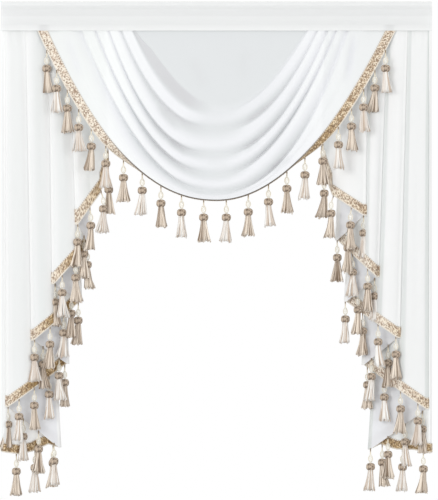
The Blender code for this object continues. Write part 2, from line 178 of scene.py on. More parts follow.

# Creases, listed one by one: a soft trough, or a ridge where its depth is negative, along a line on the front
Crease = namedtuple("Crease", "x1 z1 x2 z2 width depth")
# On the swag each crease also darkens the cloth's tone by its depth: painted shade along the crease.
SWAG_CREASES = tuple(Crease(*row) for row in (
    (182, -356, 118, -402, 9, 4.0),
    (108, -322, 58, -350, 8, 3.0),
    (-138, -240, -80, -306, 9, 3.0),
    (-112, -318, -60, -362, 9, 2.5),
    (62, -286, 128, -236, 8, 2.0),
    (-30, -376, 36, -380, 10, 1.6),
    (322, -66, 300, -200, 8, 3.5),
    (-352, -66, -310, -190, 10, 2.0),
    (-60, -120, -20, -210, 16, 1.2),
    (70, -100, 60, -190, 16, 1.0),
))
TAIL_CREASES = tuple(Crease(*row) for row in (
    (-478, -62, -474, -112, 3, 1.6),
    (-466, -62, -465, -98, 3, -1.3),
    (-455, -62, -452, -120, 3, 1.5),
    (-438, -62, -436, -96, 3, 1.2),
    (426, -62, 427, -110, 3, 1.3),
    (458, -62, 457, -100, 3, 1.5),
    (476, -62, 474, -124, 3, -1.2),
    (-412, -150, -404, -520, 7, 1.6),
    (-462, -180, -458, -700, 8, 1.6),
    (-360, -200, -352, -480, 7, -1.4),
    (-470, -600, -464, -900, 7, -1.4),
    (418, -170, 410, -560, 7, 1.6),
    (466, -220, 462, -800, 8, 1.6),
    (372, -220, 368, -500, 7, -1.4),
    (478, -520, 474, -900, 6, -1.3),
))

# Painted light and shade across a tail's panel, from the fold in front of it to its own outer end. It is a
# tone between and beyond the thin and the dense cloth's colours: painted shade beside the fold in front, and
# painted light where the light from the left falls. The outermost panel keeps within a range of its own, and
# the fold at its end has its own tone: painted light on the left tail and painted shade on the right.
PANEL_SHARES = (0.0, 0.08, 0.15, 0.2, 0.3, 0.45, 0.6, 0.8, 0.92, 1.0)
PANEL_LIGHT_AND_SHADE = {
    LEFT: (0.95, 0.80, 0.60, 0.50, 0.25, 0.10, 0.20, 0.65, 1.0, 1.0),
    RIGHT: (0.1, -0.3, -0.45, 0.8, 1.0, 1.0, 1.0, 0.82, 0.60, 0.45),
}
OUTER_PANEL_SHADE_RANGE = {LEFT: (0.42, 1.0), RIGHT: (-0.45, 0.72)}
OUTER_FOLD_LIGHT_AND_SHADE = {LEFT: 1.0, RIGHT: -0.6}
# The folds' turns take the dense tone, partly for the layers seen edge-on and partly as painted light against
# the shade beside them.
FOLD_TONE = 1.0

# Colours of the cloths, in linear light: where a single ply shows, and where many lie together. The tones
# that mix them also carry painted shade and painted light, and the swag's colour below a single ply is
# painted shade in its troughs and creases.
HEADER_THIN, HEADER_DENSE = (0.77, 0.78, 0.78), (0.94, 0.95, 0.945)
# The swag's tone steps: 0 is painted shade in the troughs, 0.42 a single ply, and 1 many layers of cloth with
# painted light.
SWAG_PLY_SHADE_STEPS = (0.0, 0.42, 0.75, 1.0)
SWAG_PLY_SHADE_COLORS = ((0.60, 0.605, 0.62), (0.695, 0.717, 0.727), (0.825, 0.835, 0.86), (0.895, 0.915, 0.905))
TAIL_THIN, TAIL_DENSE = (0.86, 0.88, 0.87), (0.985, 0.99, 0.985)
TAIL_REVERSE = (0.90, 0.91, 0.94)
THREADS_PER_METRE = 900.0

# The photograph is 438 by 500 pixels of 2.32 mm, and the drape's middle and top lie at these pixels.
PIXEL = 2.32 * MM
MIDDLE_PIXEL = 216.5
TOP_PIXEL = 1.0
PHOTO_SIZE = (438, 500)

# How closely the header's cloth lies over itself down its height: the heading, the pocket and the hem band,
# with darker fine lines across the heading
HEADER_TONE_DEPTHS = np.array([0.0, 3.0, 4.0, 8.5, 10.0, 14.0, 28.0, 34.0, 37.0, 54.0, 57.0, 69.0]) * MM
HEADER_TONES = (0.75, 0.70, 0.45, 0.62, 0.40, 0.50, 0.25, 0.25, 0.45, 0.35, 0.60, 0.95)
TRIM_END = 401 * MM
TRIM_END_HALF = 12 * MM
TRIM_END_TONE = 0.5

# Braid: across its width a cord at the sewn edge, the woven band, and a lip at the free edge
BRAID_LOOP = 2.3 * MM
BAND_START, BAND_END, BAND_EDGE = 0.07, 0.90, 0.05
CORD_AT, CORD_SPREAD = 0.03, 0.045
LIP_AT, LIP_SPREAD = 0.95, 0.05
TWIST_LENGTH = 5.2 * MM
BRAID_LIFT = 0.15 * MM
BRAID_BACK_ROWS = 3
BRAID_CREAM = np.array([0.95, 0.89, 0.79])
BRAID_STRAW = np.array([0.86, 0.70, 0.47])
BRAID_TAN = np.array([0.68, 0.555, 0.45])
BRAID_GOLD = np.array([0.50, 0.345, 0.18])
BRAID_UMBER = np.array([0.40, 0.29, 0.21])
BRAID_BROWN = np.array([0.25, 0.155, 0.075])
BRAID_CORD = np.array([0.42, 0.35, 0.29])
CREAM_LOOPS, CREAM_LOOPS_GOLDEN = 0.50, 0.22
BROWN_LOOPS, BROWN_LOOPS_GOLDEN = 0.28, 0.40
SWAG_GOLDEN_AT = (-1.0, -0.3, 0.3, 0.6, 1.0)
SWAG_GOLDEN = (0.15, 0.20, 0.95, 1.05, 0.3)
PANEL_GOLDEN = {LEFT: (1.25, 0.15), RIGHT: (0.10, 0.60)}
# The braid on the reverse layers and on the last layer, which hang behind in shade, is painted a darker gold:
# painted shade.
REVERSE_SHADE_GOLDEN = 1.1
# How much darker the sewn cord is painted where the braid is turned under edge-on: painted shade.
EDGE_ON_SHADE = 0.62

# Tassel parts: how far under the braid's edge they lie, and their half sizes
LOOP_TOP = -2.5 * MM
LOOP_REACH = 5.0 * MM
LOOP_HALF_GAP = 0.75 * MM
LOOP_THREAD = 0.8 * MM
LOOP_FORWARD = 0.6 * MM
HEAD_TOP = 32 * MM
HEAD_BOTTOM = 49 * MM
HEAD_HALF = (10.6 * MM, 6.4 * MM, 8.9 * MM)
HEAD_LOOP = 2.9 * MM
HEAD_RELIEF = 0.10
BEAD_DROP = 22.0 * MM
BEAD_HALF = (4.6 * MM, 3.8 * MM, 8.4 * MM)
BEAD_REACH = 7.0 * MM
SKIRT_LENGTH = 48 * MM
SKIRT_TOP_HALF, SKIRT_LOW_HALF = (5.4, 3.6), (14.4, 5.6)
THREAD_HALF, THREAD_GROWTH = 0.72, 0.42
# The rings of locks in a skirt: how many locks, and how wide the ring is
SKIRT_RINGS = ((15, 1.0), (7, 0.66))
LOCK_THREADS = 3
TUBE_SIDES = 4

# Along the tails' hems the yarn is tan and cream by turns, but for these, counted from the inner end
LEFT_EXCHANGED = (3, 5, 9)
RIGHT_EXCHANGED = (1, *range(5, 14))
LEFT_FIRST_TASSEL, LEFT_SPACING = 8 * MM, 48 * MM
RIGHT_FIRST_TASSEL, RIGHT_SPACING = 32 * MM, 52 * MM
LOOP_CREAM = np.array([0.95, 0.88, 0.73])
LOOP_DARK = np.array([0.36, 0.27, 0.18])
BEAD_CLEAR = np.array([0.98, 0.96, 0.88])
HEAD_DARK = np.array([0.135, 0.097, 0.068])
HEAD_LIGHT = np.array([0.68, 0.55, 0.425])
TAN_YARN = np.array([[0.28, 0.19, 0.12], [1.0, 0.90, 0.78]])
CREAM_YARN = np.array([[0.62, 0.49, 0.38], [1.0, 0.99, 0.96]])

# Header: the faint ripples across the pocket, as length, height and start of each
RIPPLES = ((21.0 * MM, 1.0, 0.0), (13.3 * MM, 0.7, 1.0), (47.0 * MM, 0.5, 2.0))
POCKET_FULLNESS, RIPPLE_HEIGHT = 0.72 * MM, 0.28 * MM
HEADER_COLUMNS = 200
HEADER_STEP = 1.2 * MM

# Light, camera and floor
CAMERA_DISTANCE = 20.0
SENSOR_WIDTH = 36.0
ROOM_STRENGTH = 0.77
LIGHT_TARGET = (0.0, 0.0, -0.5)
LIGHT_SIZE = 3.6
KEY_PLACE, KEY_WATTS = (-4.2, -7.0, 1.2), 180.0
FILL_PLACE, FILL_WATTS = (5.0, -6.6, 0.6), 72.0
FLOOR_HALF, FLOOR_Z = 8.0, -1.42


def smooth_step(value):
    value = np.clip(value, 0.0, 1.0)
    return value * value * (3.0 - 2.0 * value)


def settle(depth, fall):
    return 1.0 - np.exp(-np.maximum(depth, 0.0) / fall)


def lengths_along(points):
    """How far along their line each of the points lies."""
    return np.concatenate([[0.0], np.cumsum(np.linalg.norm(np.diff(points, axis=0), axis=1))])


def points_at(points, distances):
    """The places at given distances along a line of points."""
    lengths = lengths_along(points)
    return np.stack([np.interp(distances, lengths, values) for values in points.T], axis=-1)


def normalised(vectors):
    return vectors / np.maximum(np.linalg.norm(vectors, axis=-1, keepdims=True), 1e-12)


# Nodes and materials

def node_in(tree, kind, **values):
    node = tree.nodes.new(kind)
    for name, value in values.items():
        setattr(node, name, value)
    return node


def new_material(name, color, roughness, **sockets):
    material = bpy.data.materials.new(name)
    material.use_nodes = True
    shader = material.node_tree.nodes["Principled BSDF"]
    shader.inputs["Base Color"].default_value = (*color, 1.0)
    shader.inputs["Roughness"].default_value = roughness
    for socket, value in sockets.items():
        shader.inputs[socket.replace("_", " ")].default_value = value
    return material, material.node_tree, shader


def thread_pattern(tree, count):
    """Warp and weft as two sets of fine ribs over the piece's UV map, whose unit is a metre."""
    uv = node_in(tree, "ShaderNodeUVMap", uv_map="UVMap")
    split = node_in(tree, "ShaderNodeSeparateXYZ")
    tree.links.new(uv.outputs["UV"], split.inputs["Vector"])
    ribs = []
    for axis in ("X", "Y"):
        scaled = node_in(tree, "ShaderNodeMath", operation="MULTIPLY")
        scaled.inputs[1].default_value = count * math.tau
        wave = node_in(tree, "ShaderNodeMath", operation="SINE")
        tree.links.new(split.outputs[axis], scaled.inputs[0])
        tree.links.new(scaled.outputs[0], wave.inputs[0])
        ribs.append(wave)
    both = node_in(tree, "ShaderNodeMath", operation="MULTIPLY")
    tree.links.new(ribs[0].outputs[0], both.inputs[0])
    tree.links.new(ribs[1].outputs[0], both.inputs[1])
    return both.outputs[0]


def marked_tint(tree, shader, scale, detail, dark, places, strength):
    """Colours the shader by the piece's "tint" attribute under soft dark marks, and returns their noise."""
    tint = node_in(tree, "ShaderNodeAttribute", attribute_name="tint")
    noise = node_in(tree, "ShaderNodeTexNoise")
    noise.inputs["Scale"].default_value = scale
    noise.inputs["Detail"].default_value = detail
    ramp = node_in(tree, "ShaderNodeValToRGB")
    for element, place in zip(ramp.color_ramp.elements, places):
        element.position = place
    ramp.color_ramp.elements[0].color = (*dark, 1.0)
    mixed = node_in(tree, "ShaderNodeMix", data_type="RGBA", blend_type="MULTIPLY")
    mixed.inputs["Factor"].default_value = strength
    tree.links.new(noise.outputs["Fac"], ramp.inputs["Fac"])
    tree.links.new(tint.outputs["Color"], mixed.inputs["A"])
    tree.links.new(ramp.outputs["Color"], mixed.inputs["B"])
    tree.links.new(mixed.outputs["Result"], shader.inputs["Base Color"])
    return noise.outputs["Fac"]


def raise_pattern(tree, shader, height, strength, distance):
    bump = node_in(tree, "ShaderNodeBump")
    bump.inputs["Strength"].default_value = strength
    bump.inputs["Distance"].default_value = distance
    tree.links.new(height, bump.inputs["Height"])
    tree.links.new(bump.outputs["Normal"], shader.inputs["Normal"])


def sheer_material(name, alpha):
    """Sheer plain weave with slight slubs, coloured by the piece's tint attribute: whiter where the cloth
    lies over itself, and lighter or darker where the tints carry painted light and shade.
    """
    material, tree, shader = new_material(name, (0.9, 0.9, 0.9), 0.82, Specular_IOR_Level=0.25,
                                          Sheen_Weight=0.18, Sheen_Roughness=0.45, Alpha=alpha)
    marked_tint(tree, shader, 26.0, 3.0, (0.78, 0.80, 0.82), (0.0, 1.0), 0.05)
    raise_pattern(tree, shader, thread_pattern(tree, THREADS_PER_METRE), 0.12, 0.2 * MM)
    return material


def yarn_material(name, roughness, grain_scale, grain_strength, **sockets):
    """Yarn, or a bead, with fibre grain over its colour."""
    material, tree, shader = new_material(name, (0.6, 0.5, 0.4), roughness, **sockets)
    grain = marked_tint(tree, shader, grain_scale, 4.0, (0.55, 0.50, 0.45), (0.25, 0.62), grain_strength)
    raise_pattern(tree, shader, grain, 0.3, 0.3 * MM)
    return material


# Meshes from arrays

def mesh_from(name, points, faces):
    """A smooth mesh of quads."""
    mesh = bpy.data.meshes.new(name)
    mesh.vertices.add(len(points))
    mesh.vertices.foreach_set("co", np.asarray(points, np.float32).ravel())
    mesh.loops.add(faces.size)
    mesh.loops.foreach_set("vertex_index", np.asarray(faces, np.int32).ravel())
    mesh.polygons.add(len(faces))
    mesh.polygons.foreach_set("loop_start", np.arange(0, faces.size, 4, dtype=np.int32))
    mesh.update(calc_edges=True)
    mesh.shade_smooth()
    return mesh


def grid_faces(rows, columns, wrap_columns=False):
    """Quads between neighbouring rows and columns of a grid of points."""
    row = np.arange(rows - 1)[:, None]
    column = np.arange(columns if wrap_columns else columns - 1)[None, :]
    after = (column + 1) % columns
    corners = [row * columns + column, row * columns + after, (row + 1) * columns + after,
               (row + 1) * columns + column]
    corners = [np.broadcast_to(corner, (rows - 1, column.size)) for corner in corners]
    return np.stack(corners, axis=-1).reshape(-1, 4)


def put_tint(mesh, tints):
    """A colour at each point, from an array whose last axis is red, green and blue."""
    flat = np.asarray(tints, np.float32).reshape(-1, 3)
    opaque = np.ones((len(flat), 1), np.float32)
    field = mesh.attributes.new("tint", "FLOAT_COLOR", "POINT")
    field.data.foreach_set("color", np.concatenate([flat, opaque], axis=1).ravel())


def put_uv(mesh, uv):
    layer = mesh.uv_layers.new(name="UVMap")
    index = np.zeros(len(mesh.loops), np.int32)
    mesh.loops.foreach_get("vertex_index", index)
    layer.data.foreach_set("uv", np.asarray(uv, np.float32)[index].ravel())


def add_piece(name, mesh, material, replaced=None):
    piece = bpy.data.objects.new(name, mesh)
    mesh.materials.append(material)
    bpy.context.scene.collection.objects.link(piece)
    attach(piece, "root")
    if replaced:
        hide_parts(replaced)
    return piece


def grid_uv(points):
    """Lengths along the rows and down the columns, in metres, as the cloth was cut."""
    across = np.linalg.norm(np.diff(points, axis=1), axis=2).mean(axis=0)
    down = np.linalg.norm(np.diff(points, axis=0), axis=2).mean(axis=1)
    u = np.concatenate([[0.0], np.cumsum(across)])
    v = np.concatenate([[0.0], np.cumsum(down)])
    return np.stack(np.meshgrid(u, v), axis=-1).reshape(-1, 2)


def mixed_tint(share, thin, dense):
    """Colours between the thin and the dense cloth's, by an array of shares."""
    return np.array(thin) + (np.array(dense) - np.array(thin)) * share[..., None]


def add_cloth(name, points, tints, material, replaced):
    rows, columns = points.shape[:2]
    mesh = mesh_from(name, points.reshape(-1, 3), grid_faces(rows, columns))
    put_uv(mesh, grid_uv(points))
    put_tint(mesh, tints)
    return add_piece(name, mesh, material, replaced)


def crease_depth(x, z, creases):
    """How far back the creases push each point, in metres."""
    pushed = np.zeros_like(x)
    for c in creases:
        start = np.array([c.x1, c.z1]) * MM
        along = np.array([c.x2, c.z2]) * MM - start
        share = ((x - start[0]) * along[0] + (z - start[1]) * along[1]) / (along @ along)
        side = ((x - start[0]) * along[1] - (z - start[1]) * along[0]) / np.sqrt(along @ along)
        taper = smooth_step((0.5 - np.abs(share - 0.5)) / CREASE_TAPER)
        pushed += c.depth * MM * taper * np.exp(-(side / (c.width * MM)) ** 2)
    return pushed


# Swag

def arm_fractions(count):
    """Places along the swag's lines from -1 at the left end to 1, closer together near the ends."""
    even = np.linspace(-1.0, 1.0, count)
    return even + 0.45 * ((1.5 * even - 0.5 * even ** 3) - even)


def line_points(line, fraction):
    power = np.where(fraction < 0.0, line.left_power, line.right_power)
    end = np.where(fraction < 0.0, line.left, line.right)
    low_z = line.low_z * MM
    reach = ((CLOTH_TOP_Z - low_z) / (-FLAP_BOTTOM - low_z)) ** (1.0 / power)
    x = line.low_x + (end - line.low_x) * np.abs(fraction) * reach
    z = low_z + (CLOTH_TOP_Z - low_z) * np.abs(fraction) ** power
    return x * MM, z


def seam_points(fraction):
    first = SWAG_LINES[0]
    left = first.left + SWAG_SEAM_INSET
    right = first.right - SWAG_SEAM_INSET
    return ((left + right) / 2.0 + fraction * (right - left) / 2.0) * MM, np.full_like(fraction, CLOTH_TOP_Z)


def swag_y(z, forward):
    top = SWAG_TOP_FORWARD * np.exp(-(CLOTH_TOP_Z - z) / TOP_FORWARD_FALL)
    return SWAG_SEAM_Y - SWAG_BULGE * settle(-FLAP_BOTTOM - z, SWAG_BULGE_FALL) - forward - top


def line_forward(line, fraction):
    share = np.abs(fraction) ** 3
    relief = MIDDLE_RELIEF + (1.0 - MIDDLE_RELIEF) * smooth_step(np.abs(fraction) / MIDDLE_REACH)
    return (line.forward * relief * (1.0 - share) + line.end_forward * share) * MM


# A line's tone along it: how closely the cloth lies over itself, with painted fold shade and painted light.
def line_plies_and_shade(line, fraction):
    left_end, left, middle, right, right_end = line.plies
    arm = np.where(fraction < 0.0, left, right)
    end = np.where(fraction < 0.0, left_end, right_end)
    inner = middle + (arm - middle) * smooth_step((np.abs(fraction) - 0.05) / 0.35)
    return inner + (end - inner) * smooth_step((np.abs(fraction) - 0.45) / 0.45)


def flat_edge(fraction, share):
    """How far the flat cloth has turned to the first trough, which is a crisp wedge on the left arm, painted
    dark as shade.
    """
    start = np.interp(fraction, WEDGE_AT, WEDGE_START)
    edge = np.where(fraction < WEDGE_AT[-1], WEDGE_EDGE, PLAIN_EDGE)
    return smooth_step((share - start) / edge)


def flank(line, fraction, share):
    """How far a fold's flank has come over to the given line. On the left arm both flanks are steep beside
    their trough, most of all near its end, and on the right arm only the flank under a trough is."""
    left = smooth_step((-LEFT_FLANK_FROM - fraction) / FLANK_BLEND)
    right = smooth_step((fraction - RIGHT_FLANK_FROM) / FLANK_BLEND)
    crisp = smooth_step((-CRISP_FROM - fraction) / CRISP_BLEND)
    if line.name.startswith("trough"):
        between, on_right = smooth_step(share ** 1.3), share ** 1.6
        on_left = smooth_step((share - 0.62 - 0.14 * crisp) / (0.38 - 0.14 * crisp))
    else:
        between, on_right = smooth_step(share), smooth_step(share / 0.34)
        on_left = 1.0 - (1.0 - share) ** (1.6 + 1.2 * crisp)
    if line.name == "crest_1":
        on_left = smooth_step((share - 0.3) / 0.6)
    return on_left * left + between * (1.0 - left - right) + on_right * right


def swag_grid(fraction):
    """The swag's cloth from its seam down to its braid, and its tone there: how closely it lies over itself,
    with painted shade in its troughs and creases and painted light on its crests.
    """
    grid, full = [], []
    x, z = seam_points(fraction)
    start = np.stack([x, z, np.zeros_like(x), np.full_like(x, FLAT_PLIES)])
    for number, line in enumerate(SWAG_LINES):
        x, z = line_points(line, fraction)
        end = np.stack([x, z, line_forward(line, fraction), line_plies_and_shade(line, fraction)])
        count = ROWS_PER_LINE if number else FLAT_ROWS
        for step in range(1 if number else 0, count + 1):
            share = step / count
            x, z = start[:2] + (end[:2] - start[:2]) * share
            # The turn moves a fold's depth and its tone together, and the painted shade and light move with
            # it.
            turn = flank(line, fraction, share) if number else flat_edge(fraction, share)
            forward, plies = start[2:] + (end[2:] - start[2:]) * turn
            pressed = crease_depth(x, z, SWAG_CREASES)
            grid.append(np.stack([x, swag_y(z, forward) + pressed, z], axis=-1))
            # A crease's depth takes tone away: painted shade in the crease.
            full.append(plies - pressed / CREASE_FULL_SHADE)
        start = end
    return np.array(grid), np.clip(np.array(full), 0.0, 1.0)


def swag_hem(fraction, share):
    """Points of the swag's hem between its sewn line (share 0) and its free edge (share 1)."""
    last = SWAG_LINES[-1]
    x, z = line_points(last, fraction)
    start = np.stack([x, swag_y(z, line_forward(last, fraction)), z], axis=-1)
    step = 0.01
    ahead_x, ahead_z = line_points(last, np.minimum(fraction + step, 1.0))
    behind_x, behind_z = line_points(last, np.maximum(fraction - step, -1.0))
    level = np.zeros_like(ahead_x)
    along = normalised(np.stack([ahead_x - behind_x, level, ahead_z - behind_z], axis=-1))
    outward = np.stack([along[:, 2], level, -along[:, 0]], axis=-1)
    under = UNDER_ANGLE * smooth_step((UNDER_START - np.abs(fraction)) / (UNDER_START - UNDER_FULL))
    direction = outward * np.cos(under)[:, None]
    direction[:, 1] += np.sin(under)
    reach = SEAM_GAP + 0.75 * CLOTH_THICK * np.sin(under) + share * BRAID_WIDTH
    point = start + direction * reach[:, None]
    point[:, 2] = np.minimum(point[:, 2], BRAID_TOP_Z)
    return point


def build_swag(material):
    fraction = arm_fractions(SWAG_COLUMNS)
    grid, full = swag_grid(fraction)
    hem = np.array([swag_hem(fraction, share) for share in np.linspace(0.1, 0.97, HEM_ROWS)])
    points = np.concatenate([grid, hem])
    full = np.concatenate([full, np.ones(hem.shape[:2])])
    # Colours from the tone: a single ply's grey, the white of many layers, and painted shade below a single
    # ply.
    tints = np.stack([np.interp(full, SWAG_PLY_SHADE_STEPS, values) for values in zip(*SWAG_PLY_SHADE_COLORS)], axis=-1)
    return add_cloth("swag_cloth", points, tints, material, "swag")


# Tails

def tail_pitch(z):
    return TAIL_PITCH_TOP + (TAIL_PITCH_LOW - TAIL_PITCH_TOP) * settle(CLOTH_TOP_Z - z, TAIL_PITCH_FALL)


def place_out(place, z):
    share = (CLOTH_TOP_Z - z) / (CLOTH_TOP_Z - place.hem_z * MM)
    return (place.top_out + (place.hem_out - place.top_out) * share) * MM


def tail_columns(places, fineness, turn_steps):
    columns = []
    layer = 1
    for first, after in zip(places, places[1:]):
        start = 0 if not columns else 1
        if first.turn:
            for step in range(turn_steps + 1):
                angle = math.pi * (step / turn_steps - 0.5)
                columns.append(TailColumn(first, first, 0.0, layer, angle))
            layer += 1
            start = 1
        count = first.steps * fineness
        last = after.turn != 0
        for step in range(start, count + (0 if last else 1)):
            columns.append(TailColumn(first, after, step / count, layer, None))
    return columns


def tail_point(column, z):
    """Distance out and y of a tail's column at heights z."""
    first, after = column.first, column.after
    pitch = tail_pitch(z)
    radius = pitch / 2.0
    if column.angle is None:
        start = place_out(first, z) - first.turn * radius
        end = place_out(after, z) - after.turn * radius
        out = start + (end - start) * column.share
        level = column.layer
    else:
        out = place_out(first, z) - first.turn * radius * (1.0 - math.cos(column.angle))
        level = column.layer + 0.5 + 0.5 * math.sin(column.angle)
    slant = 1.0 + LAYERS_PER_METRE * (out - FIRST_OUT)
    base = TAIL_SEAM_Y + TAIL_BACK * settle(CLOTH_TOP_Z - z, TAIL_BACK_FALL)
    return out, base + pitch * (level - slant)


def panel_share(places, column, z, out):
    """Across the part of a front-facing layer that shows, 0 at the fold in front of it and 1 at its own outer
    end. Also how far inside the fold in front a point is, where it is hidden."""
    ridges = [places[0]] + [place for place in places if place.turn == 1] + [places[-1]]
    number = (column.layer + 1) // 2
    front = place_out(ridges[number - 1], z)
    own = place_out(ridges[number], z)
    return np.clip((out - front) / (own - front), 0.0, 1.0), np.maximum(front - out, 0.0)


def nestle(places, column, z, out):
    """How far a front-facing layer comes forward: close behind the fold in front of it, and slightly round
    between there and its own outer end."""
    share, hidden = panel_share(places, column, z, out)
    step_back = 1.0 - np.exp(-((hidden / HIDDEN_STEP) ** 2))
    behind = 1.0 - HIDDEN_SHARE * step_back - (1.0 - HIDDEN_SHARE) * smooth_step(hidden / HIDDEN_FALL)
    close = NESTLE * tail_pitch(z) * np.where(hidden > 0.0, behind, 1.0 - smooth_step(share))
    if column.layer == 1:
        close = 0.0
    return close + PLEAT_ROUND * np.sin(math.pi * share) * settle(CLOTH_TOP_Z - z, TAIL_PITCH_FALL)


def hem_height(column):
    return (column.first.hem_z + (column.after.hem_z - column.first.hem_z) * column.share) * MM


def layer_slope(first, after):
    return min(abs(after.hem_z - first.hem_z) / abs(after.hem_out - first.hem_out), STEEPEST_BRAID)


def braid_heights(places, columns):
    """How tall the braid stands at each column, taller where its hem slopes."""
    slopes = [layer_slope(first, after) for first, after in zip(places, places[1:])]
    slope_after = dict(zip(places, slopes))
    slope_before = dict(zip(places[1:], slopes))
    heights = []
    for column in columns:
        slope = slope_after[column.first]
        if column.angle is not None:
            slope = (slope + slope_before[column.first]) / 2.0
        heights.append(BRAID_WIDTH * math.sqrt(1.0 + slope * slope))
    return np.array(heights)


def columns_grid(side, places, columns, heights):
    """The points of a tail's columns, each with its own heights. The front-facing layers are round pleats."""
    points = np.empty((heights.shape[0], len(columns), 3))
    for number, column in enumerate(columns):
        z = heights[:, number]
        out, y = tail_point(column, z)
        if column.layer % 2 and column.angle is None:
            y = y - nestle(places, column, z, out)
        top = np.exp(-(CLOTH_TOP_Z - z) / TOP_FORWARD_FALL)
        y = y - TAIL_TOP_FORWARD * smooth_step((out - BESIDE_SWAG) / TOP_FORWARD_STEP) * top
        y = y + crease_depth(side * out, z, TAIL_CREASES)
        points[:, number] = np.stack([side * out, y, z], axis=-1)
    return points


def tail_tints(side, places, columns, heights):
    """The tails' colours: painted light and shade across the panels and at the folds, and dull lavender
    reverse layers.
    """
    tints = np.empty(heights.shape + (3,))
    tints[:] = TAIL_REVERSE
    outer = columns[-1].layer - 2
    for number, column in enumerate(columns):
        if column.angle is not None:
            # A fold's tone: painted light, or painted shade on the right tail's outermost fold.
            tone = np.full(len(heights), OUTER_FOLD_LIGHT_AND_SHADE[side] if column.layer >= outer else FOLD_TONE)
        elif column.layer % 2:
            out, _ = tail_point(column, heights[:, number])
            share, _ = panel_share(places, column, heights[:, number], out)
            # Painted light and shade across the panel.
            tone = np.interp(share, PANEL_SHARES, PANEL_LIGHT_AND_SHADE[side])
            if column.layer == outer:
                tone = np.clip(tone, *OUTER_PANEL_SHADE_RANGE[side])
        else:
            continue
        tints[:, number] = mixed_tint(tone, TAIL_THIN, TAIL_DENSE)
    return tints


def build_tail(word, side, places, material):
    columns = tail_columns(places, FINE_STEPS, FINE_TURN_STEPS)
    hem = np.array([hem_height(column) for column in columns])
    share = (np.linspace(0.0, 1.0, TAIL_ROWS) ** 1.15)[:, None]
    heights = CLOTH_TOP_Z + (hem[None, :] + 0.6 * MM - CLOTH_TOP_Z) * share
    points = columns_grid(side, places, columns, heights)
    tints = tail_tints(side, places, columns, heights)
    return add_cloth(f"tail_{word}_cloth", points, tints, material, f"tail_{word}")


# Braid: a woven band with a cord along its sewn edge and a looser cream edge that the tassels hang from

def scatter(first, second):
    """An uneven but fixed value from 0 to 1 for each pair of whole numbers."""
    value = np.sin(first * 12.9898 + second * 78.233) * 43758.5453
    return value - np.floor(value)


def yarn_loops(along, across, size):
    """The nearest of many uneven loops at each place: how far off its middle is, in loops, and its tone."""
    column, row = along / size, across / size
    near = np.full(column.shape, 9.0)
    tone = np.zeros(column.shape)
    for step in (-1, 0, 1):
        for side in (-1, 0, 1):
            first, second = np.floor(column) + step, np.floor(row) + side
            off = np.hypot(column - first - 0.5 - 0.6 * (scatter(first, second) - 0.5),
                           row - second - 0.5 - 0.6 * (scatter(second + 7.0, first) - 0.5))
            tone = np.where(off < near, scatter(first + 3.0, second + 5.0), tone)
            near = np.minimum(near, off)
    return near, tone


def braid_relief(along, across, golden, edge_on):
    """The braid's height over the cloth and its colour, by the length along it and the share across it."""
    near, tone = yarn_loops(along, across * BRAID_WIDTH, BRAID_LOOP)
    band = smooth_step((across - BAND_START) / BAND_EDGE) * smooth_step((BAND_END - across) / BAND_EDGE)
    cord = np.exp(-((across - CORD_AT) / CORD_SPREAD) ** 2)
    lip = np.exp(-((across - LIP_AT) / LIP_SPREAD) ** 2)
    twist = 0.5 + 0.5 * np.sin(math.tau * (along / TWIST_LENGTH + across * 5.0))
    height = 0.5 + band * (1.4 - 1.1 * near) + cord * (0.7 + 0.35 * twist) * (1.0 + 1.7 * edge_on)
    height += lip * (0.4 + 0.4 * twist)
    golden = np.broadcast_to(golden, tone.shape)
    cream = (tone > 1.0 - CREAM_LOOPS - (CREAM_LOOPS_GOLDEN - CREAM_LOOPS) * golden)[..., None]
    brown = (tone < BROWN_LOOPS + (BROWN_LOOPS_GOLDEN - BROWN_LOOPS) * golden)[..., None]
    golden = golden[..., None]
    tint = BRAID_TAN * (1.0 - golden) + BRAID_GOLD * golden
    tint = np.where(cream, BRAID_CREAM * (1.0 - golden) + BRAID_STRAW * golden, tint)
    tint = np.where(brown, BRAID_UMBER * (1.0 - golden) + BRAID_BROWN * golden, tint)
    # Lighter at each loop's middle and darker between the loops: painted light and shade over the loops'
    # relief.
    tint = tint * (1.06 - 0.2 * near[..., None])
    dash = (smooth_step((0.45 - twist) / 0.3) * (1.0 - edge_on) + edge_on)[..., None]
    # Edge-on, the cord is painted darker as shade under the turned braid.
    sewn = BRAID_CREAM * (1.0 - dash) + BRAID_CORD * dash * (1.0 - EDGE_ON_SHADE * edge_on)[..., None]
    # The cord and the lip are darker where the twist lies low: painted shade in its grooves.
    plain = np.where((across < 0.5)[..., None], sewn, BRAID_CREAM) * (0.82 + 0.18 * twist[..., None])
    edge = (1.0 - band)[..., None]
    return height * MM, tint * (1.0 - edge) + plain * edge


